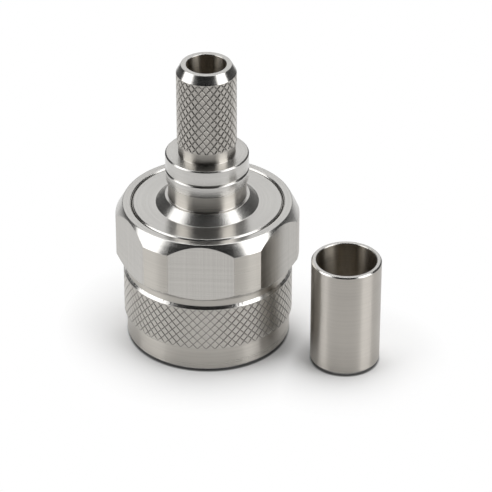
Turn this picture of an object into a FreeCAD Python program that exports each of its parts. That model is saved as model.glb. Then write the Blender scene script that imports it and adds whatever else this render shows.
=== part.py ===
import FreeCAD, Part
import math
import os
import Sketcher

# A coaxial crimp plug with a 5/8-24 coupling nut, standing on its mating face,
# with its loose crimp ferrule beside it. Millimetres, +Z up, the plug's axis
# along Z, and the coupling nut's front rim on the plane Z = 0.

SIZES = {
    # coupling thread, 5/8-24 with a major diameter of 15.875, and the nut's bore behind it
    "thread_clearance": 0.8375,
    "thread_height": 0.5125,
    "thread_entry_gap": 0.1625,
    "thread_relief_gap": 0.1125,
    "thread_relief_length": 2.0,
    "nut_shoulder_width": 0.38,
    "nut_end_play": 0.3,
    "nut_edge_break": 0.1,
    # coupling nut, outside
    "grip_wall": 1.5,
    "grip_length": 5.15,
    "grip_rear_chamfer": 0.33,
    "grip_diamonds": 62,
    "grip_diamond_height": 1.054,
    "grip_knurl_depth": 0.12,
    "front_rim_length": 3.0,
    "front_rim_step": 0.29,
    "front_rim_chamfer": 0.2,
    "hex_neck_step": 0.24,
    "hex_neck_length": 0.7,
    "hex_wall": 0.595,
    "hex_corner_rise": 0.675,
    "hex_land_inset": 0.145,
    "hex_rear_chamfer": 1.4,
    # running fit of the nut on the body, and the snap ring that holds it there
    "running_gap": 0.1,
    "ring_width": 0.9,
    "ring_thickness": 0.8,
    "ring_setback": 2.55,
    "ring_opening_deg": 24.0,
    # mating face: outer contact, gasket and centre contact
    "sleeve_recess": 1.3,
    "sleeve_bore_dia": 7.0,
    "sleeve_wall": 0.5,
    "sleeve_edge_break": 0.2,
    "sleeve_slot_width": 0.4,
    "sleeve_slot_length": 6.0,
    "sleeve_slot_turn_deg": 45.0,
    "shank_step": 0.25,
    "shank_length": 3.3,
    "mating_depth": 9.0,
    "gasket_thickness": 1.6,
    "gasket_width": 2.35,
    "gasket_play": 0.05,
    "boss_wall": 0.43,
    "boss_recess": 0.4,
    "pin_recess": 0.4,
    "pin_dia": 1.65,
    "pin_tip_length": 0.5,
    "pin_tip_step": 0.425,
    "pin_length": 4.9,
    "contact_dia": 3.04,
    "barb_height": 0.3,
    "barb_length": 0.8,
    "barb_setback": 2.6,
    "conductor_hole_dia": 1.5,
    "conductor_hole_floor": 0.1,
    "barrel_wall": 0.5,
    "barrel_length": 4.0,
    "sight_hole_dia": 0.7,
    "sight_hole_height": 1.0,
    # insulators
    "insulator_step": 0.2,
    "front_insulator_length": 4.4,
    "front_insulator_recess": 0.5,
    "rear_insulator_length": 2.0,
    "barrel_air_gap": 0.7,
    # connector body
    "gasket_pocket_depth": 0.4,
    "flange_length": 4.95,
    "flange_edge_break": 0.08,
    "hub_height": 1.0,
    "hub_cone_width": 1.03,
    "hub_step": 0.35,
    "body_neck_wall": 0.46,
    "body_length": 4.4,
    "collar_rise": 0.27,
    "collar_taper": 0.07,
    "collar_taper_length": 1.4,
    "collar_edge_break": 0.14,
    # crimp stem
    "spigot_step": 0.15,
    "stem_collar_length": 1.9,
    "stem_bore_dia": 4.34,
    "stem_bore_edge_break": 0.16,
    "stem_wall": 1.11,
    "stem_neck_step": 0.13,
    "stem_neck_length": 1.37,
    "stem_knurl_length": 8.5,
    "stem_diamonds": 25,
    "stem_diamond_height": 1.064,
    "stem_knurl_depth": 0.15,
    "stem_end_chamfer": 0.94,
    "stem_end_step": 0.52,
    "stem_relief_step": 0.18,
    "stem_relief_length": 2.4,
    # crimp ferrule, and where it stands beside the nut
    "ferrule_wall": 0.55,
    "ferrule_play": 0.04,
    "ferrule_length": 12.7,
    "ferrule_outer_break": 0.22,
    "ferrule_inner_break": 0.14,
    "ferrule_distance": 2.44,
    "ferrule_bearing_deg": -18.6,
    # clearance of the pieces that are pressed or stacked together
    "seat_gap": 0.02,
    # a knurled band's metal under its grooves, and how far its ends reach into the blank
    "knurl_web": 0.3,
    "knurl_root": 0.05,
}


class Size:
    """A length with its value and the sheet expression that gives it."""

    def __init__(self, value, text):
        self.value = value
        self.text = text

    def join(self, sign, other, value):
        text = other.text if isinstance(other, Size) else str(other)
        return Size(value, f"({self.text} {sign} {text})")

    def __add__(self, other):
        return self.join("+", other, self.value + number(other))

    def __sub__(self, other):
        return self.join("-", other, self.value - number(other))

    def __mul__(self, other):
        return self.join("*", other, self.value * number(other))

    def __truediv__(self, other):
        return self.join("/", other, self.value / number(other))


def number(size):
    return size.value if isinstance(size, Size) else size


def size(alias):
    return Size(SIZES[alias], "Sizes." + alias)


def radius(alias):
    return size(alias) / 2


ZERO = Size(0.0, "0")
ORIGIN = FreeCAD.Vector(0, 0, 0)
UPWARDS = FreeCAD.Vector(0, 0, 1)


def write_sheet(doc):
    sheet = doc.addObject("Spreadsheet::Sheet", "Sizes")
    for row, (alias, value) in enumerate(SIZES.items(), start=1):
        sheet.set(f"A{row}", alias.replace("_", " "))
        sheet.set(f"B{row}", str(value))
        sheet.setAlias(f"B{row}", alias)
    doc.recompute()


def origin_plane(body, role):
    return next(item for item in body.Origin.OriginFeatures if item.Role == role)


def new_body(doc, name):
    body = doc.addObject("PartDesign::Body", name)
    body.Label = name
    return body


def new_sketch(body, name, role):
    sketch = body.newObject("Sketcher::SketchObject", name)
    sketch.AttachmentSupport = (origin_plane(body, role), [""])
    sketch.MapMode = "FlatFace"
    return sketch


def bind(sketch, kind, places, length, name):
    """Constrain a sketch by one length that the sheet gives."""
    index = sketch.addConstraint(Sketcher.Constraint(kind, *places, length.value))
    sketch.renameConstraint(index, name)
    sketch.setExpression(f"Constraints.{name}", length.text)


def pin_point(sketch, line, across, up, name):
    """Fix the start of a line by its distances from the sketch's origin."""
    if across is ZERO:
        sketch.addConstraint(Sketcher.Constraint("PointOnObject", line, 1, -2))
    else:
        bind(sketch, "DistanceX", (-1, 1, line, 1), across, name + "_across")
    if up is ZERO:
        sketch.addConstraint(Sketcher.Constraint("PointOnObject", line, 1, -1))
    else:
        bind(sketch, "DistanceY", (-1, 1, line, 1), up, name + "_up")


def closed_outline(sketch, points):
    """Draw a closed outline of straight lines through (across, up) lengths."""
    corners = [FreeCAD.Vector(across.value, up.value, 0) for across, up in points]
    count = len(points)
    for i in range(count):
        sketch.addGeometry(Part.LineSegment(corners[i], corners[(i + 1) % count]))
    for i in range(count):
        sketch.addConstraint(Sketcher.Constraint("Coincident", i, 2, (i + 1) % count, 1))
    for i, (across, up) in enumerate(points):
        pin_point(sketch, i, across, up, f"corner_{i}")


def turned(doc, name, points):
    """A piece turned about Z from half of its section, as (radius, height) corners."""
    body = new_body(doc, name)
    sketch = new_sketch(body, name + "_section", "XZ_Plane")
    closed_outline(sketch, points)
    turning = body.newObject("PartDesign::Revolution", name + "_turning")
    turning.Profile = sketch
    turning.ReferenceAxis = (sketch, ["V_Axis"])
    turning.Angle = 360
    doc.recompute()
    return body


def cut_once(doc, body, sketch, name, **settings):
    """Pocket a sketch and make sure that it took material away."""
    before = body.Shape.Volume
    pocket = body.newObject("PartDesign::Pocket", name)
    pocket.Profile = sketch
    for key, value in settings.items():
        setattr(pocket, key, value)
    doc.recompute()
    if not body.Shape.Volume < before - 1e-3:
        raise RuntimeError(f"{name} cuts nothing")
    return pocket


def circle_of_points(height, radii):
    """Points round Z at one height, with their radii in turn."""
    turn = 2 * math.pi / len(radii)
    return [
        FreeCAD.Vector(reach * math.cos(turn * k), reach * math.sin(turn * k), height)
        for k, reach in enumerate(radii)
    ]


def triangles_between(low, high, lean):
    """Close the strip between two circles of points, its diagonals in zigzag."""
    for k in range(len(low)):
        after = (k + 1) % len(low)
        if (k + lean) % 2 == 0:
            yield low[k], low[after], high[after]
            yield low[k], high[after], high[k]
        else:
            yield low[k], low[after], high[k]
            yield low[after], high[after], high[k]


def knurled_band(doc, name, crest, depth, low, high, diamonds, diamond_height, rooted_low):
    """A ring whose outside is cut to pointed diamonds by two crossing sets of grooves.

    Crests and crossings of grooves take turns round the band and up it, so every
    diamond is a pyramid of four flat triangles. The upper end, and the lower one
    where it is rooted, reach into the blank that carries the band.
    """
    columns = 2 * round(diamonds)
    rows = max(1, round(2 * (high - low) / diamond_height))
    groove = crest - depth
    inner = groove - SIZES["knurl_web"]
    root = SIZES["knurl_root"]
    circles = []
    for row in range(rows + 1):
        radii = [crest if (k + row) % 2 else groove for k in range(columns)]
        circles.append(circle_of_points(low + (high - low) * row / rows, radii))
    foot = low
    if rooted_low:
        foot = low - root
        circles.insert(0, circle_of_points(foot, [groove] * columns))
    circles.append(circle_of_points(high + root, [groove] * columns))
    circles.append(circle_of_points(high + root, [inner] * columns))
    circles.append(circle_of_points(foot, [inner] * columns))
    circles.append(circles[0])
    lean = 1 if rooted_low else 0
    faces = []
    for i in range(len(circles) - 1):
        for corners in triangles_between(circles[i], circles[i + 1], i + lean):
            faces.append(Part.Face(Part.makePolygon([*corners, corners[0]])))
    band = Part.makeSolid(Part.makeShell(faces))
    if band.Volume < 0:
        band.reverse()
    piece = doc.addObject("Part::Feature", name)
    piece.Shape = band
    return piece


def with_band(doc, name, blank, band):
    """One piece of a turned blank and its knurled band."""
    blank.Label = name + "_blank"
    piece = doc.addObject("Part::Fuse", name + "_knurled")
    piece.Label = name
    piece.Base = blank
    piece.Tool = band
    doc.recompute()
    return piece


# Radii, from the centre contact outwards

CONTACT = radius("contact_dia")
CONTACT_FIT = CONTACT + size("seat_gap")
BARREL = radius("conductor_hole_dia") + size("barrel_wall")
SLEEVE_BORE = radius("sleeve_bore_dia")
SLEEVE = SLEEVE_BORE + size("sleeve_wall")
SHANK = SLEEVE + size("shank_step")
BOSS = SHANK + size("seat_gap") + size("boss_wall")
GASKET_INNER = BOSS + size("gasket_play")
GASKET_OUTER = GASKET_INNER + size("gasket_width")

INSULATOR = SLEEVE_BORE + size("insulator_step")
SPIGOT = INSULATOR + size("spigot_step")
SOCKET = SPIGOT + size("seat_gap")
BODY_NECK = SOCKET + size("body_neck_wall")
COLLAR = BODY_NECK + size("collar_rise")

THREAD_MAJOR = GASKET_OUTER + size("thread_clearance")
THREAD_MINOR = THREAD_MAJOR - size("thread_height")
THREAD_RELIEF = THREAD_MAJOR + size("thread_relief_gap")
NUT_BORE = THREAD_RELIEF + size("nut_shoulder_width")
FLANGE = NUT_BORE - size("running_gap")
RING = NUT_BORE - size("running_gap") / 2
RING_INNER = RING - radius("ring_width")
RING_OUTER = RING + radius("ring_width")
BODY_GROOVE = RING_INNER - size("running_gap")
NUT_GROOVE = RING_OUTER + size("running_gap")
HEX_FLAT = NUT_GROOVE + size("hex_wall")
HEX_CORNER = HEX_FLAT + size("hex_corner_rise")

STEM_BORE = radius("stem_bore_dia")
STEM_KNURL = STEM_BORE + size("stem_wall")

# Heights, from the mating end upwards

SLEEVE_TIP = size("sleeve_recess")
GASKET_FACE = SLEEVE_TIP + size("mating_depth")
GASKET_SEAT = GASKET_FACE + size("gasket_thickness")
BOSS_FACE = GASKET_FACE + size("boss_recess")
SHANK_END = BOSS_FACE + size("shank_length")

INSULATOR_FRONT = BOSS_FACE + size("front_insulator_recess")
BARB_FRONT = INSULATOR_FRONT + size("barb_setback")
INSULATOR_JOINT = INSULATOR_FRONT + size("front_insulator_length")
SPIGOT_FRONT = INSULATOR_JOINT + size("rear_insulator_length")

FLANGE_FRONT = GASKET_SEAT - size("gasket_pocket_depth")
NUT_REAR = FLANGE_FRONT + size("flange_length")
RING_FRONT = NUT_REAR - size("ring_setback") - radius("ring_thickness")
RING_REAR = RING_FRONT + size("ring_thickness")
GROOVE_FRONT = RING_FRONT - size("running_gap")
GROOVE_REAR = RING_REAR + size("running_gap")

HUB_TOP = NUT_REAR + size("hub_height")
BODY_REAR = NUT_REAR + size("body_length")
STEM_COLLAR_TOP = BODY_REAR + size("stem_collar_length")
STEM_KNURL_LOW = STEM_COLLAR_TOP + size("stem_neck_length")
STEM_KNURL_TOP = STEM_KNURL_LOW + size("stem_knurl_length")
STEM_END = STEM_KNURL_TOP + size("stem_end_chamfer")


def coupling_nut(doc):
    """Turned nut, milled to a hexagon at its rear, with a knurled grip in front of that."""
    rim_break = size("front_rim_chamfer")
    edge = size("nut_edge_break")
    entry = THREAD_MAJOR + size("thread_entry_gap")
    thread_end = FLANGE_FRONT - size("nut_end_play") - size("thread_relief_length")
    shoulder = FLANGE_FRONT - size("nut_end_play")
    grip = THREAD_MAJOR + size("grip_wall")
    rim = grip - size("front_rim_step")
    neck = grip - size("hex_neck_step")
    land = HEX_FLAT - size("hex_land_inset")
    grip_front = size("front_rim_length")
    grip_rear = grip_front + size("grip_length")
    neck_front = grip_rear + size("grip_rear_chamfer")
    hex_front = neck_front + size("hex_neck_length")
    body = turned(doc, "coupling_nut", [
        (entry, ZERO),
        (rim - rim_break, ZERO),
        (rim, rim_break),
        (rim, grip_rear),
        (grip, grip_rear),
        (neck, neck_front),
        (neck, hex_front),
        (HEX_CORNER, hex_front + HEX_CORNER - neck),
        (HEX_CORNER, NUT_REAR - size("hex_rear_chamfer")),
        (land, NUT_REAR),
        (NUT_BORE + edge, NUT_REAR),
        (NUT_BORE, NUT_REAR - edge),
        (NUT_BORE, GROOVE_REAR),
        (NUT_GROOVE, GROOVE_REAR),
        (NUT_GROOVE, GROOVE_FRONT),
        (NUT_BORE, GROOVE_FRONT),
        (NUT_BORE, shoulder),
        (THREAD_RELIEF, shoulder),
        (THREAD_RELIEF, thread_end),
        (THREAD_MINOR, thread_end),
        (THREAD_MINOR, entry - THREAD_MINOR),
    ])
    hexagon = new_sketch(body, "hexagon", "XY_Plane")
    sharp = Size(HEX_FLAT.value / math.sqrt(3) * 2, f"({HEX_FLAT.text} / sqrt(3) * 2)")
    blank = HEX_CORNER * 1.5
    corners = [
        FreeCAD.Vector(sharp.value * math.cos(turn), sharp.value * math.sin(turn), 0)
        for turn in (math.radians(60 * i) for i in range(6))
    ]
    for i in range(6):
        hexagon.addGeometry(Part.LineSegment(corners[i], corners[(i + 1) % 6]))
    for i in range(6):
        hexagon.addConstraint(Sketcher.Constraint("Coincident", i, 2, (i + 1) % 6, 1))
    through_corners = hexagon.addGeometry(Part.Circle(ORIGIN, UPWARDS, sharp.value), True)
    round_blank = hexagon.addGeometry(Part.Circle(ORIGIN, UPWARDS, blank.value))
    for circle in (through_corners, round_blank):
        hexagon.addConstraint(Sketcher.Constraint("Coincident", circle, 3, -1, 1))
    for i in range(6):
        hexagon.addConstraint(Sketcher.Constraint("PointOnObject", i, 1, through_corners))
    for i in range(5):
        hexagon.addConstraint(Sketcher.Constraint("Equal", i, i + 1))
    hexagon.addConstraint(Sketcher.Constraint("PointOnObject", 0, 1, -1))
    bind(hexagon, "Radius", (through_corners,), sharp, "through_corners")
    bind(hexagon, "Radius", (round_blank,), blank, "round_blank")
    cut_once(doc, body, hexagon, "hexagon_milling", Type="ThroughAll", Reversed=True)
    band = knurled_band(
        doc, "grip_band", grip.value, SIZES["grip_knurl_depth"], grip_front.value,
        grip_rear.value, SIZES["grip_diamonds"], SIZES["grip_diamond_height"], False)
    return with_band(doc, "coupling_nut", body, band)


def snap_ring(doc):
    """Split ring, half in the body's groove and half in the nut's."""
    body = turned(doc, "snap_ring", [
        (RING_INNER, RING_FRONT),
        (RING_OUTER, RING_FRONT),
        (RING_OUTER, RING_REAR),
        (RING_INNER, RING_REAR),
    ])
    body.Tip.setExpression("Angle", "360 - Sizes.ring_opening_deg")
    doc.recompute()
    return body


def connector_body(doc):
    """Turned body: gasket seat in front, flange inside the nut, hub and collar behind."""
    edge = size("flange_edge_break")
    collar_edge = size("collar_edge_break")
    shank_bore = SHANK + size("seat_gap")
    insulator_bore = INSULATOR + size("seat_gap")
    hub = BODY_NECK + size("hub_step")
    collar_foot = BODY_REAR - size("collar_taper_length")
    pocket = GASKET_OUTER + size("seat_gap")
    return turned(doc, "connector_body", [
        (shank_bore, BOSS_FACE),
        (BOSS, BOSS_FACE),
        (BOSS, GASKET_SEAT),
        (pocket, GASKET_SEAT),
        (pocket, FLANGE_FRONT),
        (FLANGE - edge, FLANGE_FRONT),
        (FLANGE, FLANGE_FRONT + edge),
        (FLANGE, GROOVE_FRONT),
        (BODY_GROOVE, GROOVE_FRONT),
        (BODY_GROOVE, GROOVE_REAR),
        (FLANGE, GROOVE_REAR),
        (FLANGE, NUT_REAR - edge),
        (FLANGE - edge, NUT_REAR),
        (hub + size("hub_cone_width"), NUT_REAR),
        (hub, HUB_TOP),
        (BODY_NECK, HUB_TOP),
        (BODY_NECK, collar_foot),
        (COLLAR - size("collar_taper"), collar_foot),
        (COLLAR, BODY_REAR - collar_edge),
        (COLLAR - collar_edge, BODY_REAR),
        (SOCKET, BODY_REAR),
        (SOCKET, SPIGOT_FRONT),
        (insulator_bore, SPIGOT_FRONT),
        (insulator_bore, SHANK_END),
        (shank_bore, SHANK_END),
    ])


def outer_contact(doc):
    """Slotted contact sleeve, its shank pressed into the body's boss."""
    edge = size("sleeve_edge_break")
    body = turned(doc, "outer_contact", [
        (SLEEVE_BORE, SLEEVE_TIP),
        (SLEEVE - edge, SLEEVE_TIP),
        (SLEEVE, SLEEVE_TIP + edge),
        (SLEEVE, BOSS_FACE),
        (SHANK, BOSS_FACE),
        (SHANK, SHANK_END),
        (SLEEVE_BORE, SHANK_END),
    ])
    slot = new_sketch(body, "contact_slot", "XY_Plane")
    slot.AttachmentOffset = FreeCAD.Placement(ORIGIN, FreeCAD.Rotation(UPWARDS, 45))
    slot.setExpression("AttachmentOffset.Rotation.Angle", "Sizes.sleeve_slot_turn_deg")
    half = radius("sleeve_slot_width")
    closed_outline(slot, [
        (half, ZERO - half),
        (SHANK, ZERO - half),
        (SHANK, half),
        (half, half),
    ])
    milling = cut_once(doc, body, slot, "slot_milling", Type="Length", Reversed=True)
    milling.setExpression("Length", (SLEEVE_TIP + size("sleeve_slot_length")).text)
    pattern = body.newObject("PartDesign::PolarPattern", "four_slots")
    pattern.Originals = [milling]
    pattern.Axis = (slot, ["N_Axis"])
    pattern.Angle = 360
    pattern.Occurrences = 4
    body.Tip = pattern
    doc.recompute()
    return body


def gasket(doc):
    """Sealing ring between the body's boss and its flange."""
    return turned(doc, "gasket", [
        (GASKET_INNER, GASKET_FACE),
        (GASKET_OUTER, GASKET_FACE),
        (GASKET_OUTER, GASKET_SEAT),
        (GASKET_INNER, GASKET_SEAT),
    ])


def centre_contact(doc):
    """Gold plated pin with a shoulder, a retaining barb and a crimp barrel."""
    tip = SLEEVE_TIP + size("pin_recess")
    shoulder = tip + size("pin_length")
    pin = radius("pin_dia")
    barb_front = BARB_FRONT + size("seat_gap")
    barb_rear = barb_front + size("barb_length")
    barrel_rear = INSULATOR_JOINT + size("barrel_length")
    hole_floor = INSULATOR_JOINT + size("conductor_hole_floor")
    body = turned(doc, "centre_contact", [
        (ZERO, tip),
        (pin - size("pin_tip_step"), tip),
        (pin, tip + size("pin_tip_length")),
        (pin, shoulder),
        (CONTACT, shoulder),
        (CONTACT, barb_front),
        (CONTACT + size("barb_height"), barb_rear),
        (CONTACT, barb_rear),
        (CONTACT, INSULATOR_JOINT),
        (BARREL, INSULATOR_JOINT),
        (BARREL, barrel_rear),
        (radius("conductor_hole_dia"), barrel_rear),
        (radius("conductor_hole_dia"), hole_floor),
        (ZERO, hole_floor),
    ])
    sight = new_sketch(body, "sight_hole", "XZ_Plane")
    height = hole_floor + size("sight_hole_height")
    opening = radius("sight_hole_dia")
    centre = FreeCAD.Vector(0, height.value, 0)
    sight.addGeometry(Part.Circle(centre, UPWARDS, opening.value))
    sight.addConstraint(Sketcher.Constraint("PointOnObject", 0, 3, -2))
    bind(sight, "DistanceY", (-1, 1, 0, 3), height, "height")
    bind(sight, "Radius", (0,), opening, "opening")
    drilling = cut_once(doc, body, sight, "sight_drilling", Type="Length")
    drilling.setExpression("Length", (BARREL + opening).text)
    doc.recompute()
    return body


def front_insulator(doc):
    """Stepped insulator behind the outer contact, with the groove that the barb snaps into."""
    front = SLEEVE_BORE - size("seat_gap")
    groove = CONTACT + size("barb_height") + size("seat_gap")
    groove_rear = BARB_FRONT + size("barb_length") + size("seat_gap") * 2
    return turned(doc, "front_insulator", [
        (CONTACT_FIT, INSULATOR_FRONT),
        (front, INSULATOR_FRONT),
        (front, SHANK_END),
        (INSULATOR, SHANK_END),
        (INSULATOR, INSULATOR_JOINT),
        (CONTACT_FIT, INSULATOR_JOINT),
        (CONTACT_FIT, groove_rear),
        (groove, groove_rear),
        (groove, BARB_FRONT),
        (CONTACT_FIT, BARB_FRONT),
    ])


def rear_insulator(doc):
    """Ring that the stem's spigot presses against the front insulator."""
    inner = BARREL + size("barrel_air_gap")
    return turned(doc, "rear_insulator", [
        (inner, INSULATOR_JOINT),
        (INSULATOR, INSULATOR_JOINT),
        (INSULATOR, SPIGOT_FRONT),
        (inner, SPIGOT_FRONT),
    ])


def crimp_stem(doc):
    """Tube that the cable's braid goes over, its spigot pressed into the body's collar."""
    collar_edge = size("collar_edge_break")
    bore_edge = size("stem_bore_edge_break")
    relief = STEM_BORE + size("stem_relief_step")
    relief_end = SPIGOT_FRONT + size("stem_relief_length")
    neck = STEM_KNURL - size("stem_neck_step")
    under_band = neck - size("stem_knurl_depth")
    body = turned(doc, "crimp_stem", [
        (relief, SPIGOT_FRONT),
        (SPIGOT, SPIGOT_FRONT),
        (SPIGOT, BODY_REAR),
        (COLLAR, BODY_REAR),
        (COLLAR, STEM_COLLAR_TOP - collar_edge),
        (COLLAR - collar_edge, STEM_COLLAR_TOP),
        (neck, STEM_COLLAR_TOP),
        (neck, STEM_KNURL_LOW),
        (under_band, STEM_KNURL_LOW),
        (under_band, STEM_KNURL_TOP),
        (STEM_KNURL, STEM_KNURL_TOP),
        (STEM_KNURL - size("stem_end_step"), STEM_END),
        (STEM_BORE + bore_edge, STEM_END),
        (STEM_BORE, STEM_END - bore_edge),
        (STEM_BORE, relief_end),
        (relief, relief_end),
    ])
    band = knurled_band(
        doc, "stem_band", STEM_KNURL.value, SIZES["stem_knurl_depth"], STEM_KNURL_LOW.value,
        STEM_KNURL_TOP.value, SIZES["stem_diamonds"], SIZES["stem_diamond_height"], True)
    return with_band(doc, "crimp_stem", body, band)


def crimp_ferrule(doc):
    """Plain ferrule, loose, standing beside the nut until it is crimped on the stem."""
    inner = STEM_KNURL + size("ferrule_play")
    outer = inner + size("ferrule_wall")
    outer_edge = size("ferrule_outer_break")
    inner_edge = size("ferrule_inner_break")
    top = size("ferrule_length")
    body = turned(doc, "crimp_ferrule", [
        (inner + inner_edge, ZERO),
        (outer - outer_edge, ZERO),
        (outer, outer_edge),
        (outer, top - outer_edge),
        (outer - outer_edge, top),
        (inner + inner_edge, top),
        (inner, top - inner_edge),
        (inner, inner_edge),
    ])
    reach = (HEX_CORNER + size("ferrule_distance") + outer).text
    body.setExpression("Placement.Base.x", f"{reach} * cos(Sizes.ferrule_bearing_deg)")
    body.setExpression("Placement.Base.y", f"{reach} * sin(Sizes.ferrule_bearing_deg)")
    doc.recompute()
    return body


def check(doc, pieces):
    """Stop if any object failed or any piece is not one valid solid."""
    for item in doc.Objects:
        if "Invalid" in item.State or "Error" in item.State:
            raise RuntimeError(f"{item.Label} failed: {item.State}")
    for piece in pieces:
        shape = piece.Shape
        if shape.isNull() or not shape.isValid() or len(shape.Solids) != 1:
            raise RuntimeError(f"{piece.Label} is not one valid solid")


def main():
    doc = FreeCAD.newDocument("coaxial_plug")
    write_sheet(doc)
    makers = (
        connector_body,
        outer_contact,
        gasket,
        centre_contact,
        front_insulator,
        rear_insulator,
        crimp_stem,
        snap_ring,
        coupling_nut,
        crimp_ferrule,
    )
    pieces = [make(doc) for make in makers]
    doc.recompute()
    check(doc, pieces)
    os.makedirs("parts", exist_ok=True)
    for piece in pieces:
        piece.Shape.exportStep(f"parts/{piece.Label}.step")
        print(piece.Label, round(piece.Shape.Volume, 3), "mm3")


main()
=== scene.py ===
import bmesh
import bpy
import math
from mathutils import Matrix, Vector


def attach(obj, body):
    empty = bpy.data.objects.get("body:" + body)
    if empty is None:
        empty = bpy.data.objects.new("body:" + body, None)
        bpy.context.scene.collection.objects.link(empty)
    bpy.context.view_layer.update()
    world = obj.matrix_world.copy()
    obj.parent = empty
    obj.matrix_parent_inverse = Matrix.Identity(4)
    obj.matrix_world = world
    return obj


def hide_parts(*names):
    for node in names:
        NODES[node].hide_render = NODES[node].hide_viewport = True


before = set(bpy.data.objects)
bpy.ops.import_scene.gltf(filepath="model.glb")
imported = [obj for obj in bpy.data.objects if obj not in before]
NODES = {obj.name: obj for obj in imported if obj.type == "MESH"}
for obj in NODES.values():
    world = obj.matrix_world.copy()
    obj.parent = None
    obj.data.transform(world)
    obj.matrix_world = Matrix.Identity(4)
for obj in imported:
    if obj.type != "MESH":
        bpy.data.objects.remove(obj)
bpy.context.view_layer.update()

# Half sections are in millimetres, as on the part's drawing, and MM turns them into metres
MM = 0.001
TURN = 2 * math.pi

# Columns round a turned piece, how finely its edges are rounded, and what angle is sharp
COLUMNS = 192
EDGE_STEP_DEG = 19
SHARP_DEG = 30

# Coupling nut
RIM = 9.1475
RIM_TOP = 3.0
GRIP = 9.4375
GRIP_TOP = 8.15
NECK = 9.1975
NECK_BOTTOM = 8.48
HEX_BOTTOM = 9.18
HEX_FLAT = 9.525
HEX_CORNER = 10.2
REAR_CONE_BOTTOM = 15.05
REAR_LAND = 9.38
NUT_TOP = 16.45
NUT_BORE = 8.43
NUT_BORE_BOTTOM = 11.2
NUT_BORE_BREAK = 0.15
RING_GROOVE = 8.93
THREAD_RELIEF = 8.05
THREAD_MAJOR = 7.9375
THREAD_MINOR = 7.425
THREAD_PITCH = 25.4 / 24
THREAD_TOP = 9.2
THREAD_ENTRY = 0.1625

# Knurls: diamonds round the band, a diamond's height, the grooves' depth, their share of a
# diamond's width, and the length over which they run out at the band's ends
GRIP_KNURL = {"around": 62, "height": 1.054, "depth": 0.07, "groove": 0.17, "run_out": 0.3}
STEM_KNURL = {"around": 25, "height": 1.064, "depth": 0.1, "groove": 0.26, "run_out": 0.2}

# Heights at which the pieces of the plug meet
BODY_FRONT = 10.7
INSULATOR_BOTTOM = 11.2
GASKET_SEAT = 11.9
RING_BOTTOM = 13.4
BARB_BOTTOM = 13.82
CONTACT_TOP = 14.0
RING_TOP = 14.4
BARB_TOP = 14.62
INSULATOR_TOP = 15.6
SPIGOT_BOTTOM = 17.6
JOINT_LINE = 20.85

# Radii at which they meet, and the gap at a seat
PIN_SHOULDER = 1.52
PIN_BARB = 1.82
CONTACT_BORE = 3.5
BODY_BORE = 3.72
SPIGOT_BORE = 3.87
BOSS_BORE = 4.27
COLLAR_END = 4.42
COLLAR = 4.6
BOSS = 4.7
GASKET_POCKET = 7.12
SEAT_GAP = 0.02

# Crimp stem
STEM_KNURL_CREST = 3.28
STEM_KNURL_BOTTOM = 24.12
STEM_KNURL_TOP = 32.62
STEM_NECK = 3.15
STEM_END_RIM = 2.76
STEM_TOP = 33.56
STEM_BORE = 2.17
STEM_RELIEF = 2.35
STEM_RELIEF_TOP = 20.0
STEM_COLLAR_TOP = 22.75

# Crimp ferrule, standing beside the connector
FERRULE_CENTRE = (15.6477, -5.266)
FERRULE_OUTSIDE = 3.87
FERRULE_BORE = 3.32
FERRULE_TOP = 12.7

# The order of a piece's materials, where OTHER is the nut's milled flats or a tube's bore
WALLS, FACES, OTHER, DIAMONDS, GROOVES = range(5)

# Heights between which the collars' walls take the faces' material, its finer finish and its
# lighter colour, which is painted light
COLLARS_BOTTOM = 19.5
COLLARS_TOP = 22.78

# Small edge radii
CRISP = 0.03
SOFT = 0.06
BRIGHT = 0.11


def rounded(corners, closed=True):
    """Round the corners of a half section, each given as radius, height and edge radius.

    An edge takes up less than half of the stretches beside it."""
    points = []
    last = len(corners) - 1
    for i, (r, z, size) in enumerate(corners):
        corner = Vector((r, z))
        if size == 0 or (not closed and i in (0, last)):
            points.append((r, z))
            continue
        before = Vector(corners[i - 1][:2]) - corner
        after = Vector(corners[(i + 1) % len(corners)][:2]) - corner
        half = before.angle(after) / 2
        reach = min(size / math.tan(half), before.length * 0.45, after.length * 0.45)
        edge_radius = reach * math.tan(half)
        before.normalize()
        after.normalize()
        centre = corner + (before + after).normalized() * edge_radius / math.sin(half)
        start = corner + before * reach - centre
        end = corner + after * reach - centre
        steps = math.ceil(math.degrees(math.pi - 2 * half) / EDGE_STEP_DEG)
        for k in range(steps + 1):
            spoke = start.lerp(end, k / steps).normalized() * edge_radius
            points.append(tuple(centre + spoke))
    return points


def evenly(columns):
    """Angles evenly spaced round a circle."""
    return [TURN * k / columns for k in range(columns)]


def ring(bm, place, angles, centre=(0.0, 0.0)):
    """Vertices round the axis; a place on the axis gives one vertex."""
    if place[0] == 0:
        return [bm.verts.new((*centre, place[1]))]
    return [
        bm.verts.new((
            centre[0] + place[0] * math.cos(angle),
            centre[1] + place[0] * math.sin(angle),
            place[1],
        ))
        for angle in angles
    ]


def skin(bm, lower, upper):
    """Faces between two rings of the same count, or between a ring and a point."""
    count = max(len(lower), len(upper))
    for k in range(count):
        n = (k + 1) % count
        corners = (
            lower[k % len(lower)],
            lower[n % len(lower)],
            upper[n % len(upper)],
            upper[k % len(upper)],
        )
        bm.faces.new(tuple(dict.fromkeys(corners)))


def by_angle(vertices):
    """The vertices of a ring in order round the axis, and their angles with the first repeated."""
    ordered = sorted(vertices, key=lambda v: math.atan2(v.co.y, v.co.x) % TURN)
    angles = [math.atan2(v.co.y, v.co.x) % TURN for v in ordered]
    return ordered, angles + [angles[0] + TURN]


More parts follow.
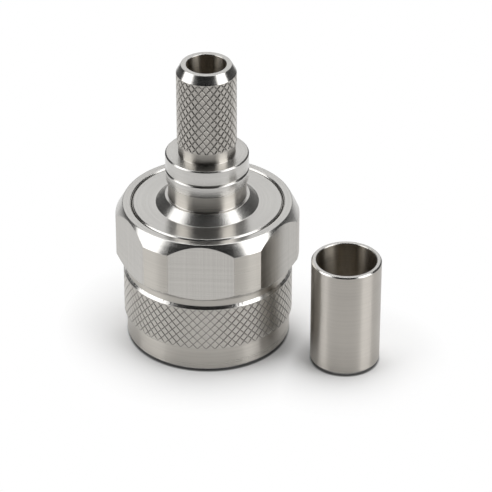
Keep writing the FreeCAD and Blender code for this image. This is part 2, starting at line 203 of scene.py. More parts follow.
def zip_rings(bm, lower, upper):
    """Triangles between two rings of different counts."""
    low, low_angles = by_angle(lower)
    high, high_angles = by_angle(upper)
    i = j = 0
    while i < len(low) or j < len(high):
        step_low = j == len(high) or (
            i < len(low) and low_angles[i + 1] <= high_angles[j + 1]
        )
        here = low[i % len(low)]
        there = high[j % len(high)]
        if step_low:
            i += 1
            bm.faces.new((here, low[i % len(low)], there))
        else:
            j += 1
            bm.faces.new((here, high[j % len(high)], there))


def finished(name, bm):
    """Turn a bmesh in millimetres into an object in metres, smooth but for its sharp edges.

    A piece's second material is for its faces, cones and collars, which have a finer finish and a
    lighter colour than the walls; the lighter colour is painted light."""
    bmesh.ops.recalc_face_normals(bm, faces=bm.faces)
    for face in bm.faces:
        middle = face.calc_center_median()
        slopes = abs(face.normal.z) > 0.3
        on_collar = (
            COLLARS_BOTTOM < middle.z < COLLARS_TOP and math.hypot(*middle.xy) > STEM_NECK - 0.05
        )
        # Sloped faces and the collars' walls take the lighter material: painted light, besides a
        # finer finish
        if face.material_index == WALLS and (slopes or on_collar):
            face.material_index = FACES
    limit = math.radians(SHARP_DEG)
    for edge in bm.edges:
        on_knurl = {face.material_index in (DIAMONDS, GROOVES) for face in edge.link_faces}
        edge.smooth = edge.calc_face_angle(0.0) < limit and len(on_knurl) == 1
    for face in bm.faces:
        face.smooth = True
    bmesh.ops.scale(bm, vec=(MM, MM, MM), verts=bm.verts)
    mesh = bpy.data.meshes.new(name)
    bm.to_mesh(mesh)
    bm.free()
    piece = bpy.data.objects.new(name, mesh)
    bpy.context.scene.collection.objects.link(piece)
    shading = piece.modifiers.new("face_weighted_normals", "WEIGHTED_NORMAL")
    shading.keep_sharp = True
    return piece


def lined(piece, bore, centre=(0.0, 0.0)):
    """Give a tube's bore a material of its own."""
    for face in piece.data.polygons:
        middle = face.center / MM
        if math.hypot(middle.x - centre[0], middle.y - centre[1]) < bore + 0.02:
            face.material_index = OTHER
    return piece


def turned(name, corners, columns=COLUMNS, centre=(0.0, 0.0)):
    """A closed turned piece from the corners of its half section."""
    bm = bmesh.new()
    angles = evenly(columns)
    rings = [ring(bm, place, angles, centre) for place in rounded(corners)]
    for i, here in enumerate(rings):
        there = rings[(i + 1) % len(rings)]
        if len(here) > 1 or len(there) > 1:
            skin(bm, here, there)
    return finished(name, bm)


def groove_share(t, groove):
    """How deep a groove is, from 0 to 1, at t of the way from one groove to the next.

    Its floor is nearly flat over a fifth of its width, and its sides are straight."""
    across = min(t, 1 - t) / (groove / 2)
    if across < 0.2:
        return 1.0 - 0.15 * across
    return max(0.0, 1.0 - (across - 0.17) / 0.85)


def knurled_band(bm, knurl, crest, low, high, trims):
    """Crossed grooves rolled round a cylinder. Returns the vertices of its two edges.

    The band is laid out flat, with x along the surface, y the radius and z the height.
    Grooves run where u or v is a whole number, and run out before the band's ends. Each
    trim is a line in the half section, as a radius, a height and the direction cut away."""
    half = knurl["groove"] / 2
    edges = (0.0, 0.2 * half, 0.9 * half, 1.15 * half)
    inner = edges[-1]
    stations = [
        *edges,
        *(inner + (1 - 2 * inner) * share for share in (0.25, 0.5, 0.75)),
        *(1 - edge for edge in reversed(edges[1:])),
    ]
    count = len(stations)
    around = knurl["around"]
    plain_end = 0.04
    vertices = {}

    def corner(column, row):
        if (column, row) not in vertices:
            u = column // count + stations[column % count]
            v = row // count + stations[row % count]
            cut = max(
                groove_share(stations[column % count], knurl["groove"]),
                groove_share(stations[row % count], knurl["groove"]),
            )
            z = low + (u - v) / 2 * knurl["height"]
            from_end = min(z - low, high - z) - plain_end
            run_out = min(1.0, max(0.0, from_end / knurl["run_out"]))
            vertices[column, row] = bm.verts.new((
                (u + v) / 2 * TURN / around * crest,
                crest - knurl["depth"] * cut * run_out,
                z,
            ))
        return vertices[column, row]

    tallest = math.ceil((high - low) / knurl["height"] * 2) + 2
    for lean in range(-2, tallest):
        for m in range(around):
            i = (2 * m + lean % 2 + lean) // 2
            j = i - lean
            for column in range(i * count, (i + 1) * count):
                for row in range(j * count, (j + 1) * count):
                    face = bm.faces.new((
                        corner(column, row),
                        corner(column + 1, row),
                        corner(column + 1, row + 1),
                        corner(column, row + 1),
                    ))
                    # Groove faces take the darker material: painted shade in the grooves
                    in_groove = {column % count, row % count} & {0, 1, count - 2, count - 1}
                    face.material_index = GROOVES if in_groove else DIAMONDS
    for r, z, out_r, out_z in trims:
        bmesh.ops.bisect_plane(
            bm,
            geom=[*bm.verts, *bm.edges, *bm.faces],
            dist=1e-5,
            plane_co=(0, r, z),
            plane_no=(0, out_r, out_z),
            clear_outer=True,
        )
    for vertex in bm.verts:
        x, r, z = vertex.co
        vertex.co = (r * math.cos(x / crest), r * math.sin(x / crest), z)
    bmesh.ops.remove_doubles(bm, verts=bm.verts, dist=1e-4)
    border = {v for edge in bm.edges if edge.is_boundary for v in edge.verts}
    middle = (low + high) / 2
    return (
        [v for v in border if v.co.z < middle],
        [v for v in border if v.co.z >= middle],
    )


def carried_to(bm, edge_vertices, place):
    """A strip from a knurl's edge to a circle, with a vertex for each of the edge's."""
    ordered, angles = by_angle(edge_vertices)
    circle = ring(bm, place, angles[:-1])
    skin(bm, ordered, circle)
    return circle


def hexagon_angles():
    """Angles for the nut's rings, with columns close together at the hexagon's edges."""
    flat_columns, arc_columns = 12, 6
    edge = math.acos(HEX_FLAT / HEX_CORNER)
    round_edge = [edge + math.radians(0.16) * k for k in (-2, -1, 0, 1, 2)]
    flat = [round_edge[0] * k / flat_columns for k in range(flat_columns)]
    arc_step = (math.radians(30) - round_edge[-1]) / arc_columns
    arc = [round_edge[-1] + arc_step * k for k in range(1, arc_columns + 1)]
    half_sector = [*flat, *round_edge, *arc]
    sector = [*(-angle for angle in reversed(half_sector[1:-1])), *half_sector]
    return [math.radians(30 + 60 * side) + angle for side in range(6) for angle in sector]


def hexagon_radius(angle):
    """The hexagon's radius at an angle, its edges very slightly rounded."""
    from_flat = (angle - math.radians(30)) % math.radians(60)
    if from_flat > math.radians(30):
        from_flat -= math.radians(60)
    flat = HEX_FLAT / math.cos(from_flat)
    blend = 0.012
    overlap = max(blend - abs(flat - HEX_CORNER), 0) / blend
    return min(flat, HEX_CORNER) - overlap * overlap * blend / 4


def nut_section(angle):
    """The nut's half section at an angle, from its neck round to the front rim."""
    side = hexagon_radius(angle)
    front = HEX_BOTTOM + side - NECK
    slope = (NUT_TOP - REAR_CONE_BOTTOM) / (HEX_CORNER - REAR_LAND)
    rear = NUT_TOP - (side - REAR_LAND) * slope
    return rounded([
        (NECK, NECK_BOTTOM + 0.02, 0),
        (NECK, HEX_BOTTOM, CRISP),
        (side, front, CRISP),
        (side, rear, CRISP),
        (REAR_LAND, NUT_TOP, BRIGHT),
        (NUT_BORE + NUT_BORE_BREAK, NUT_TOP, BRIGHT),
        (NUT_BORE, NUT_TOP - NUT_BORE_BREAK, CRISP),
        (NUT_BORE, RING_TOP, 0),
        (RING_GROOVE, RING_TOP, 0),
        (RING_GROOVE, RING_BOTTOM, 0),
        (NUT_BORE, RING_BOTTOM, 0),
        (NUT_BORE, NUT_BORE_BOTTOM, 0),
        (THREAD_RELIEF, NUT_BORE_BOTTOM, 0),
        (THREAD_RELIEF, THREAD_TOP, 0),
        (THREAD_MAJOR, THREAD_TOP, 0),
        (THREAD_MAJOR, THREAD_ENTRY, 0),
        (THREAD_MAJOR + THREAD_ENTRY, 0.0, CRISP),
        (RIM - 0.5, 0.0, CRISP),
        (RIM - 0.1, 0.08, SOFT),
        (RIM, 0.3, SOFT),
        (RIM, RIM_TOP - 0.02, 0),
    ], closed=False)


def off_flat_deg(direction):
    """How far a direction is turned from that of the nearest flat, in degrees."""
    return abs(math.degrees(math.atan2(direction.y, direction.x)) % 60 - 30)


def coupling_nut():
    """The nut: rim, knurled grip, neck, milled hexagon, and the bores inside."""
    bm = bmesh.new()
    grip_low, grip_high = knurled_band(
        bm, GRIP_KNURL, GRIP, RIM_TOP, GRIP_TOP,
        trims=(
            (GRIP, RIM_TOP, 0, -1),
            (GRIP, GRIP_TOP, NECK_BOTTOM - GRIP_TOP, GRIP - NECK),
        ),
    )
    neck_start = carried_to(bm, grip_high, (NECK, NECK_BOTTOM))
    rim_end = carried_to(bm, grip_low, (RIM, RIM_TOP))
    angles = hexagon_angles()
    sections = [nut_section(angle) for angle in angles]
    rings = [
        [
            bm.verts.new((r * math.cos(angle), r * math.sin(angle), z))
            for (r, z), angle in zip(places, angles)
        ]
        for places in zip(*sections)
    ]
    for here, there in zip(rings, rings[1:]):
        skin(bm, here, there)
    zip_rings(bm, neck_start, rings[0])
    zip_rings(bm, rings[-1], rim_end)
    bm.normal_update()
    for face in bm.faces:
        middle = face.calc_center_median()
        outside = middle.z > HEX_BOTTOM and math.hypot(*middle.xy) > REAR_LAND
        upright = abs(face.normal.z) < 0.01
        on_flat = off_flat_deg(face.normal) < 0.5 and off_flat_deg(middle) < 22
        if outside and upright and on_flat:
            face.material_index = OTHER
    return finished("nut_finished", bm)


def nut_thread():
    """The nut's inner thread as one ridge wound along a helix, thinning out at both ends."""
    bm = bmesh.new()
    columns = 96
    low, high = 0.55, THREAD_TOP - 0.15
    turns = (high - low) / THREAD_PITCH
    steps = round(turns * columns)
    root, crest = THREAD_MAJOR + 0.05, THREAD_MINOR
    half_root, half_crest = THREAD_PITCH * 0.46, THREAD_PITCH * 0.12
    rings = []
    for k in range(steps + 1):
        angle = TURN * k / columns
        z = low + THREAD_PITCH * k / columns
        grown = min(1.0, k / (columns / 3), (steps - k) / (columns / 3))
        tip = root + (crest - root) * max(0.02, grown)
        width = max(0.05, grown)
        rings.append([
            bm.verts.new((r * math.cos(angle), r * math.sin(angle), z + rise))
            for r, rise in (
                (root, -half_root * width),
                (tip, -half_crest * width),
                (tip, half_crest * width),
                (root, half_root * width),
            )
        ])
    for here, there in zip(rings, rings[1:]):
        skin(bm, here, there)
    bm.faces.new(rings[0])
    bm.faces.new(rings[-1])
    return finished("nut_thread", bm)


def connector_body():
    """The turned body: flange inside the nut, cone, neck and the collar behind."""
    flange, flange_bottom, ring_inside = 8.33, 11.5, 7.83
    hub_foot, hub_head, hub_top = 5.71, 4.68, 17.45
    neck, undercut, collar_bottom = 4.33, 4.23, 19.45
    return turned("body_finished", [
        (BOSS_BORE, BODY_FRONT, CRISP),
        (BOSS, BODY_FRONT, CRISP),
        (BOSS, GASKET_SEAT, 0),
        (GASKET_POCKET, GASKET_SEAT, 0),
        (GASKET_POCKET, flange_bottom, CRISP),
        (flange - 0.08, flange_bottom, CRISP),
        (flange, flange_bottom + 0.08, CRISP),
        (flange, RING_BOTTOM, 0),
        (ring_inside, RING_BOTTOM, 0),
        (ring_inside, RING_TOP, 0),
        (flange, RING_TOP, 0),
        (flange, NUT_TOP - 0.15, CRISP),
        (flange - 0.15, NUT_TOP, BRIGHT),
        (hub_foot, NUT_TOP, BRIGHT),
        (hub_head, hub_top, BRIGHT),
        (neck, hub_top, SOFT),
        (neck, collar_bottom - 0.13, 0.02),
        (undercut, collar_bottom - 0.09, 0.02),
        (undercut, collar_bottom, 0.02),
        (COLLAR - 0.07, collar_bottom, SOFT),
        (COLLAR, JOINT_LINE - 0.16, CRISP),
        (COLLAR_END, JOINT_LINE, CRISP),
        (SPIGOT_BORE, JOINT_LINE, 0),
        (SPIGOT_BORE, SPIGOT_BOTTOM, 0),
        (BODY_BORE, SPIGOT_BOTTOM, 0),
        (BODY_BORE, CONTACT_TOP, 0),
        (BOSS_BORE, CONTACT_TOP, 0),
    ])


def crimp_stem():
    """The stem: collar, plain neck, knurled tube with a chamfered end, and its bore."""
    bm = bmesh.new()
    knurl_low, knurl_high = knurled_band(
        bm, STEM_KNURL, STEM_KNURL_CREST, STEM_KNURL_BOTTOM, STEM_KNURL_TOP,
        trims=(
            (STEM_KNURL_CREST, STEM_KNURL_BOTTOM, 0, -1),
            (
                STEM_KNURL_CREST,
                STEM_KNURL_TOP,
                STEM_TOP - STEM_KNURL_TOP,
                STEM_KNURL_CREST - STEM_END_RIM,
            ),
        ),
    )
    cone = Vector((STEM_END_RIM - STEM_KNURL_CREST, STEM_TOP - STEM_KNURL_TOP)).normalized()
    cone_end = Vector((STEM_END_RIM, STEM_TOP)) - cone * 0.06
    cone_circle = carried_to(bm, knurl_high, tuple(cone_end))
    neck_circle = carried_to(bm, knurl_low, (STEM_NECK, STEM_KNURL_BOTTOM))
    places = rounded([
        (*(cone_end + cone * 0.01), 0),
        (STEM_END_RIM, STEM_TOP, 0.04),
        (STEM_BORE + 0.05, STEM_TOP, CRISP),
        (STEM_BORE, STEM_TOP - 0.05, CRISP),
        (STEM_BORE, STEM_RELIEF_TOP, 0),
        (STEM_RELIEF, STEM_RELIEF_TOP, 0),
        (STEM_RELIEF, SPIGOT_BOTTOM, 0),
        (SPIGOT_BORE - SEAT_GAP, SPIGOT_BOTTOM, 0),
        (SPIGOT_BORE - SEAT_GAP, JOINT_LINE, 0),
        (COLLAR_END, JOINT_LINE, CRISP),
        (COLLAR, JOINT_LINE + 0.16, CRISP),
        (COLLAR, STEM_COLLAR_TOP - 0.14, CRISP),
        (COLLAR - 0.14, STEM_COLLAR_TOP, BRIGHT),
        (STEM_NECK, STEM_COLLAR_TOP, 0.02),
        (STEM_NECK, STEM_KNURL_BOTTOM - 0.02, 0),
    ], closed=False)
    angles = evenly(COLUMNS)
    rings = [ring(bm, place, angles) for place in places]
    for here, there in zip(rings, rings[1:]):
        skin(bm, here, there)
    zip_rings(bm, cone_circle, rings[0])
    zip_rings(bm, rings[-1], neck_circle)
    return lined(finished("stem_finished", bm), STEM_BORE)


def crimp_ferrule():
    """The plain crimp tube that stands beside the connector."""
    tube = turned("ferrule_finished", [
        (FERRULE_BORE + 0.14, 0.0, CRISP),
        (FERRULE_OUTSIDE - 0.33, 0.0, CRISP),
        (FERRULE_OUTSIDE - 0.1, 0.08, SOFT),
        (FERRULE_OUTSIDE, 0.3, SOFT),
        (FERRULE_OUTSIDE, FERRULE_TOP - 0.14, SOFT),
        (FERRULE_OUTSIDE - 0.14, FERRULE_TOP, SOFT),
        (FERRULE_BORE + 0.08, FERRULE_TOP, SOFT),
        (FERRULE_BORE, FERRULE_TOP - 0.08, CRISP),
        (FERRULE_BORE, 0.14, CRISP),
    ], centre=FERRULE_CENTRE)
    return lined(tube, FERRULE_BORE, FERRULE_CENTRE)


def cut_by(piece, cutter):
    """Cut one mesh from another for good, and delete the cutter."""
    boolean = piece.modifiers.new("cut", "BOOLEAN")
    boolean.operation = "DIFFERENCE"
    boolean.solver = "EXACT"
    boolean.object = cutter
    piece.modifiers.move(len(piece.modifiers) - 1, 0)
    shading = piece.modifiers["face_weighted_normals"]
    shading.show_viewport = False
    bpy.context.view_layer.update()
    evaluated = piece.evaluated_get(bpy.context.evaluated_depsgraph_get())
    mesh = bpy.data.meshes.new_from_object(evaluated)
    piece.modifiers.remove(boolean)
    piece.data = mesh
    shading.show_viewport = True
    bpy.data.objects.remove(cutter)
    bm = bmesh.new()
    bm.from_mesh(mesh)
    limit = math.radians(SHARP_DEG)
    for edge in bm.edges:
        edge.smooth = edge.calc_face_angle(0.0) < limit
    bm.to_mesh(mesh)
    bm.free()
    return piece


def outer_contact():
    """The contact sleeve, with four saw cuts that make it spring."""
    outside, tip, edge_break = 4.0, 1.3, 0.2
    sleeve = turned("sleeve_finished", [
        (CONTACT_BORE, tip, CRISP),
        (outside - edge_break, tip, CRISP),
        (outside, tip + edge_break, SOFT),
        (outside, BODY_FRONT, 0),
        (BOSS_BORE - SEAT_GAP, BODY_FRONT, 0),
        (BOSS_BORE - SEAT_GAP, CONTACT_TOP, 0),
        (CONTACT_BORE, CONTACT_TOP, 0),
    ])
    bm = bmesh.new()
    width, length, top = 0.4, 12.0, 7.3
    for turn_deg in (45, 135):
        made = bmesh.ops.create_cube(bm, size=1.0)["verts"]
        bmesh.ops.scale(bm, vec=(length, width, 2 * top), verts=made)
        turn = Matrix.Rotation(math.radians(turn_deg), 3, "Z")
        bmesh.ops.rotate(bm, cent=(0, 0, 0), matrix=turn, verts=made)
    return cut_by(sleeve, finished("saw_cuts", bm))


def centre_contact():
    """The pin: tapered tip, shoulder, barb and the barrel that the conductor goes into."""
    pin, tip, tip_end, shoulder = 0.825, 1.7, 2.2, 6.6
    barrel, barrel_top = 1.25, 19.6
    hole, hole_floor = 0.75, 15.7
    return turned("pin_finished", [
        (0.0, tip, 0),
        (0.4, tip, 0.1),
        (pin, tip_end, 0.3),
        (pin, shoulder, 0.05),
        (PIN_SHOULDER, shoulder, SOFT),
        (PIN_SHOULDER, BARB_BOTTOM, 0),
        (PIN_BARB, BARB_TOP, 0),
        (PIN_SHOULDER, BARB_TOP, 0),
        (PIN_SHOULDER, INSULATOR_TOP, 0),
        (barrel, INSULATOR_TOP, 0),
        (barrel, barrel_top, SOFT),
        (hole, barrel_top, SOFT),
        (hole, hole_floor, 0),
        (0.0, hole_floor, 0),
    ], columns=96)


def front_insulator():
    """The turned insulator between the pin and the sleeve, with a groove for the barb."""
    hole = PIN_SHOULDER + SEAT_GAP
    return turned("insulator_finished", [
        (hole, INSULATOR_BOTTOM, SOFT),
        (CONTACT_BORE - SEAT_GAP, INSULATOR_BOTTOM, 0.1),
        (CONTACT_BORE - SEAT_GAP, CONTACT_TOP, 0),
        (BODY_BORE - SEAT_GAP, CONTACT_TOP, 0),
        (BODY_BORE - SEAT_GAP, INSULATOR_TOP, 0),
        (hole, INSULATOR_TOP, 0),
        (hole, BARB_TOP + SEAT_GAP, 0),
        (PIN_BARB + SEAT_GAP, BARB_TOP + SEAT_GAP, 0),
        (PIN_BARB + SEAT_GAP, BARB_BOTTOM - SEAT_GAP, 0),
        (hole, BARB_BOTTOM - SEAT_GAP, 0),
    ], columns=128)


def gasket():
    """The moulded sealing ring, its edges rounded by the mould."""
    inside, outside, front = BOSS + 0.05, GASKET_POCKET - SEAT_GAP, 10.3
    return turned("gasket_finished", [
        (inside, front, 0.3),
        (outside, front, 0.3),
        (outside, GASKET_SEAT, 0.1),
        (inside, GASKET_SEAT, 0.1),
    ], columns=160)


class Net:
    """A material and short ways to add and join its nodes. Textures are laid in millimetres."""

    def __init__(self, name, **settings):
        self.material = bpy.data.materials.new(name)
        self.material.use_nodes = True
        self.tree = self.material.node_tree
        self.shader = self.tree.nodes["Principled BSDF"]
        for socket, value in settings.items():
            self.shader.inputs[socket.replace("_", " ")].default_value = value

    def add(self, kind, inputs=(), **settings):
        node = self.tree.nodes.new("ShaderNode" + kind)
        for key, value in settings.items():
            setattr(node, key, value)
        for socket, value in dict(inputs).items():
            if isinstance(value, bpy.types.NodeSocket):
                self.tree.links.new(value, node.inputs[socket])
            else:
                node.inputs[socket].default_value = value
        return node

    def link(self, output, socket):
        self.tree.links.new(output, self.shader.inputs[socket])

    def math(self, operation, *values):
        return self.add("Math", dict(enumerate(values)), operation=operation).outputs[0]

    def object_place(self, centre=(0.0, 0.0)):
        """The point on the surface in millimetres, measured from the piece's own axis."""
        place = self.add("TexCoord").outputs["Object"]
        away = self.add(
            "VectorMath",
            {0: place, 1: (centre[0] * MM, centre[1] * MM, 0)},
            operation="SUBTRACT",
        ).outputs[0]
        return self.add(
            "VectorMath", {0: away, "Scale": 1 / MM}, operation="SCALE"
        ).outputs[0]

    def round_the_axis(self, place, lines, sweep):
        """Coordinates that change quickly along a turned surface and slowly round it."""
        parts = self.add("SeparateXYZ", {0: place}).outputs
        flat = self.add("CombineXYZ", {0: parts[0], 1: parts[1]}).outputs[0]
        radius = self.add("VectorMath", {0: flat}, operation="LENGTH").outputs["Value"]
        outwards = self.add("VectorMath", {0: flat}, operation="NORMALIZE").outputs[0]
        swept = self.add(
            "VectorMath", {0: outwards, "Scale": sweep}, operation="SCALE"
        ).outputs[0]
        turned_parts = self.add("SeparateXYZ", {0: swept}).outputs
        radius_share = 0.83
        along = self.math("MULTIPLY_ADD", radius, radius_share, parts[2])
        return self.add("CombineXYZ", {
            0: turned_parts[0],
            1: turned_parts[1],
            2: self.math("MULTIPLY", along, lines),
        }).outputs[0]

    def noise(self, vector, scale=1.0, detail=2.0, roughness=0.5):
        return self.add("TexNoise", {
            "Vector": vector,
            "Scale": scale,
            "Detail": detail,
            "Roughness": roughness,
        }).outputs["Fac"]

    def span(self, value, low, high):
        """Spread the middle of a noise over a range of numbers."""
        return self.ramp(value, 0.3, 0.7, low, high)

    def ramp(self, value, start, stop, at_start, at_stop):
        """A number that goes from one level to another as a value goes from start to stop."""
        return self.add("MapRange", {
            "Value": value,
            "From Min": start,
            "From Max": stop,
            "To Min": at_start,
            "To Max": at_stop,
        }).outputs[0]

    def bump(self, height, depth_mm):
        bumped = self.add("Bump", {"Height": height, "Distance": depth_mm * MM})
        self.link(bumped.outputs[0], "Normal")

    def shade(self, value, colour, darker, lighter):
        """Give the surface its colour, a share darker or lighter as a noise has it."""
        node = self.add("Mix", {0: self.span(value, 0.0, 1.0)}, data_type="RGBA")
        node.inputs[6].default_value = (*(c * (1 - darker) for c in colour), 1)
        node.inputs[7].default_value = (*(c * (1 + lighter) for c in colour), 1)
        self.link(node.outputs[2], "Base Color")

    def smear_upwards(self):
        """Draw reflections out along the axis, as rings left by a tool do."""
        tangent = self.add("Tangent", direction_type="RADIAL", axis="Z").outputs[0]
        self.link(tangent, "Tangent")
        self.shader.inputs["Anisotropic Rotation"].default_value = 0.25


def turned_metal(name, colour, roughness, anisotropy, centre=(0.0, 0.0), contrast=0.05):
    """Metal fresh from the lathe: fine rings in its colour and gloss."""
    net = Net(name, Metallic=1.0, Anisotropic=anisotropy)
    place = net.object_place(centre)
    fine = net.noise(net.round_the_axis(place, 5.0, 0.2), detail=1.0)
    broad = net.noise(net.round_the_axis(place, 0.9, 0.4), detail=1.0)
    net.shade(fine, colour, contrast, contrast)
    net.link(net.math(
        "ADD",
        net.span(fine, roughness - 0.015, roughness + 0.015),
        net.span(broad, -0.01, 0.01),
    ), "Roughness")
    net.smear_upwards()
    return net.material


def milled_metal(name, colour, roughness):
    """A milled and lapped flat, with faint lines along and across it."""
    net = Net(name, Metallic=1.0)
    place = net.object_place()
    parts = net.add("SeparateXYZ", {0: place}).outputs
    flat = net.add("CombineXYZ", {0: parts[0], 1: parts[1]}).outputs[0]
    level = net.add("VectorMath", {0: place, 1: (0.04, 0.04, 7.0)}, operation="MULTIPLY")
    upright = net.add("VectorMath", {0: place, 1: (6.0, 6.0, 0.04)}, operation="MULTIPLY")
    lines = net.math(
        "MULTIPLY_ADD", net.noise(level.outputs[0], detail=1.0), 0.5,
        net.math("MULTIPLY", net.noise(upright.outputs[0], detail=1.0), 0.5),
    )
    net.shade(lines, colour, 0.07, 0.07)
    patches = net.noise(flat, scale=0.25)
    net.link(net.math(
        "ADD",
        net.span(lines, roughness - 0.03, roughness + 0.03),
        net.span(patches, -0.02, 0.02),
    ), "Roughness")
    net.bump(lines, 0.0001)
    return net.material


def rolled_metal(name, colour, roughness):
    """Metal pressed by a knurling wheel: satin, with a very fine grain."""
    net = Net(name, Metallic=1.0, Anisotropic=0.6)
    grain = net.noise(net.object_place(), scale=7.0, detail=4.0, roughness=0.6)
    net.shade(grain, colour, 0.08, 0.06)
    net.link(net.span(grain, roughness - 0.05, roughness + 0.05), "Roughness")
    net.smear_upwards()
    net.bump(grain, 0.002)
    return net.material


def plain_plastic(name, colour, roughness, depth_mm):
    """A moulded or turned plastic or rubber with a fine surface grain."""
    net = Net(name)
    grain = net.noise(net.object_place(), scale=4.0, detail=4.0)
    net.shade(grain, colour, 0.06, 0.0)
    net.link(net.span(grain, roughness - 0.05, roughness + 0.05), "Roughness")
    net.bump(grain, depth_mm)
    return net.material


# Colours of the nickel plate as each tool left it, with painted light and shade: the walls and the
# tube are a darker copy and the faces a lighter one, and the grooves' colour is painted shade
WALL_SHADED = (0.485, 0.462, 0.425)
FACED_LIT = (0.545, 0.535, 0.515)
TUBE_SHADED = (0.485, 0.458, 0.42)
BORE = (0.45, 0.41, 0.35)
MILLED = (0.45, 0.437, 0.412)
ROLLED = (0.46, 0.44, 0.408)
# Painted shade: the knurls' grooves get a much darker colour than the diamonds
GROOVE_SHADE = (0.29, 0.278, 0.26)
STEEL = (0.50, 0.485, 0.46)

# The walls' nickel is a darker copy, painted shade; the faces' and collars' nickel a lighter one,
# painted light
nickel_turned_shaded = turned_metal("nickel_turned_shaded", WALL_SHADED, 0.29, 1.0)
nickel_faced_lit = turned_metal("nickel_faced_lit", FACED_LIT, 0.25, 0.72)
nickel_bored = turned_metal("nickel_bored", BORE, 0.3, 1.0)
nickel_milled = milled_metal("nickel_milled", MILLED, 0.21)
nickel_rolled = rolled_metal("nickel_rolled", ROLLED, 0.36)
# The grooves' material: painted shade, a darker copy of the rolled nickel
nickel_groove_shade = rolled_metal("nickel_groove_shade", GROOVE_SHADE, 0.4)
# The tube's walls and faces: darker and lighter copies of one nickel, painted shade and painted
# light
ferrule_walls_shaded = turned_metal(
    "ferrule_walls_shaded", TUBE_SHADED, 0.3, 1.0, centre=FERRULE_CENTRE, contrast=0.03
)
ferrule_faces_lit = turned_metal("ferrule_faces_lit", FACED_LIT, 0.24, 0.75, centre=FERRULE_CENTRE)
ferrule_bore = turned_metal("ferrule_bore", BORE, 0.3, 1.0, centre=FERRULE_CENTRE)
bronze_nickel = turned_metal("bronze_nickel", STEEL, 0.25, 0.5)
ring_steel = turned_metal("ring_steel", STEEL, 0.3, 0.3)
gold = turned_metal("gold_plate", (0.95, 0.66, 0.26), 0.18, 0.4)
fluoroplastic = plain_plastic("fluoroplastic", (0.86, 0.86, 0.84), 0.35, 0.001)
silicone = plain_plastic("silicone", (0.42, 0.09, 0.045), 0.45, 0.002)


def dress(piece, body, node, slot, *materials):
    """Give a piece its materials and its body, and hide the node that it stands for. The slot is
    not used.
    """
    for material in materials:
        piece.data.materials.append(material)
    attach(piece, body)
    if node:
        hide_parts(node)


def repaint(node, material):
    """Give a carried-over node its finish."""
    for material_slot in NODES[node].material_slots:
        material_slot.material = material


dress(
    coupling_nut(), "nut", "coupling_nut", "nut_metal",
    nickel_turned_shaded, nickel_faced_lit, nickel_milled, nickel_rolled, nickel_groove_shade,
)
dress(nut_thread(), "nut", None, "nut_metal", nickel_turned_shaded)
dress(
    connector_body(), "plug", "connector_body", "body_metal", nickel_turned_shaded, nickel_faced_lit
)
dress(
    crimp_stem(), "plug", "crimp_stem", "stem_metal",
    nickel_turned_shaded, nickel_faced_lit, nickel_bored, nickel_rolled, nickel_groove_shade,
)
dress(
    crimp_ferrule(), "plug", "crimp_ferrule", "ferrule_metal",
    ferrule_walls_shaded, ferrule_faces_lit, ferrule_bore,
)
dress(outer_contact(), "plug", "outer_contact", "contact_metal", bronze_nickel)
dress(centre_contact(), "plug", "centre_contact", "gold_plate", gold)
dress(front_insulator(), "plug", "front_insulator", "insulator_plastic", fluoroplastic)
dress(gasket(), "plug", "gasket", "gasket_rubber", silicone)
repaint("rear_insulator", fluoroplastic)
repaint("snap_ring", ring_steel)


def floor():
    """A broad sheet that the part stands on.

    It lies a hair below the part, and where they touch its colour is darker, a painted contact
    shadow. Near the part the lamps light it and it keeps the shadow. Farther off it is plain
    white, and beyond what the camera sees it is dark."""
    bm = bmesh.new()
    bmesh.ops.create_circle(bm, cap_ends=True, segments=128, radius=4.0)
    mesh = bpy.data.meshes.new("floor")
    bm.to_mesh(mesh)
    bm.free()
    disc = bpy.data.objects.new("floor", mesh)
    disc.location.z = -0.0002
    bpy.context.scene.collection.objects.link(disc)
    net = Net("floor_white", Roughness=0.8, Specular_IOR_Level=0.1)
    place = net.add("TexCoord").outputs["Object"]
    far = net.add("VectorMath", {0: place}, operation="LENGTH").outputs["Value"]
    from_ferrule = net.add(
        "VectorMath",
        {0: place, 1: (FERRULE_CENTRE[0] * MM, FERRULE_CENTRE[1] * MM, 0)},
        operation="DISTANCE",
    ).outputs["Value"]
    ferrule_wall = (FERRULE_OUTSIDE - FERRULE_BORE) * MM / 2
    ferrule_middle = FERRULE_OUTSIDE * MM - ferrule_wall
    off_middle = net.math("ABSOLUTE", net.math("SUBTRACT", from_ferrule, ferrule_middle))
    clear = net.math(
        "MINIMUM",
        net.math("SUBTRACT", far, RIM * MM),
        net.math("SUBTRACT", off_middle, ferrule_wall),
    )
    reach = net.ramp(far, 0.1, 0.17, 1.0, 0.08)
    # Painted shadow: the floor's colour darkens to a fifth right at the part's edge, a contact
    # shadow painted in
    contact = net.ramp(clear, -0.00015, 0.0001, 0.2, 0.95)
    level = net.math("MULTIPLY", reach, contact)
    net.link(net.add("CombineColor", {0: level, 1: level, 2: level}).outputs[0], "Base Color")
    rays = net.add("LightPath").outputs
    seen = net.math("MAXIMUM", rays["Is Camera Ray"], rays["Is Glossy Ray"])
    seen = net.math("MAXIMUM", seen, rays["Is Transmission Ray"])
    glow = net.add("Emission", {"Strength": reach}).outputs[0]
    plain = net.math("MULTIPLY", seen, net.ramp(clear, 0.0005, 0.008, 0.0, 1.0))
    mix = net.add("MixShader", {0: plain, 1: net.shader.outputs[0], 2: glow}).outputs[0]
    net.tree.links.new(mix, net.tree.nodes["Material Output"].inputs["Surface"])
    mesh.materials.append(net.material)


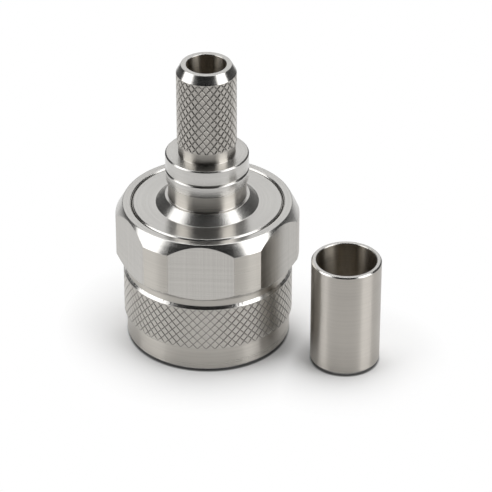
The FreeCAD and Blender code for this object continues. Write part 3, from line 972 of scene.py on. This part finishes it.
def softbox(name, azimuth, elevation, width, height, radiance):
    """A rectangular studio light. Azimuth 0 is behind the camera and 90 at its right."""
    distance = 0.9
    turn, lift = math.radians(azimuth), math.radians(elevation)
    away = Vector((
        math.sin(turn) * math.cos(lift), -math.cos(turn) * math.cos(lift), math.sin(lift)
    ))
    lamp = bpy.data.lights.new(name, "AREA")
    lamp.shape = "RECTANGLE"
    lamp.size = width
    lamp.size_y = height
    lamp.energy = radiance * math.pi * width * height
    box = bpy.data.objects.new(name, lamp)
    box.location = away * distance
    box.rotation_euler = away.to_track_quat("Z", "Y").to_euler()
    bpy.context.scene.collection.objects.link(box)


def surroundings():
    """A dim studio, a little less dark behind the part."""
    world = bpy.data.worlds.new("studio")
    bpy.context.scene.world = world
    world.use_nodes = True
    nodes, links = world.node_tree.nodes, world.node_tree.links
    direction = nodes.new("ShaderNodeTexCoord")
    parts = nodes.new("ShaderNodeSeparateXYZ")
    links.new(direction.outputs["Generated"], parts.inputs[0])
    ramp = nodes.new("ShaderNodeValToRGB")
    dark, light = ramp.color_ramp.elements
    dark.position, light.position = 0.1, 0.7
    dark.color = (0.01, 0.01, 0.01, 1)
    light.color = (0.1, 0.1, 0.1, 1)
    links.new(parts.outputs[1], ramp.inputs[0])
    links.new(ramp.outputs[0], nodes["Background"].inputs[0])


def camera():
    """A long lens looking down at the part, as the photograph was taken."""
    data = bpy.data.cameras.new("camera")
    data.lens = 207.2
    data.sensor_width = 36
    viewer = bpy.data.objects.new("camera", data)
    viewer.location = (0.021574, -0.26749, 0.17774)
    viewer.rotation_euler = (math.radians(58.07), 0, math.radians(3.7))
    bpy.context.scene.collection.objects.link(viewer)
    bpy.context.scene.camera = viewer


floor()
surroundings()
softbox("left_box", -76, 28, 0.68, 0.9, 2.6)
softbox("right_box", 70, 28, 0.6, 0.9, 3.2)
softbox("back_panel", 180, 30, 0.9, 0.45, 0.92)
softbox("overhead", 175, 72, 1.2, 0.6, 2.5)
camera()
bpy.context.scene.view_settings.view_transform = "Standard"
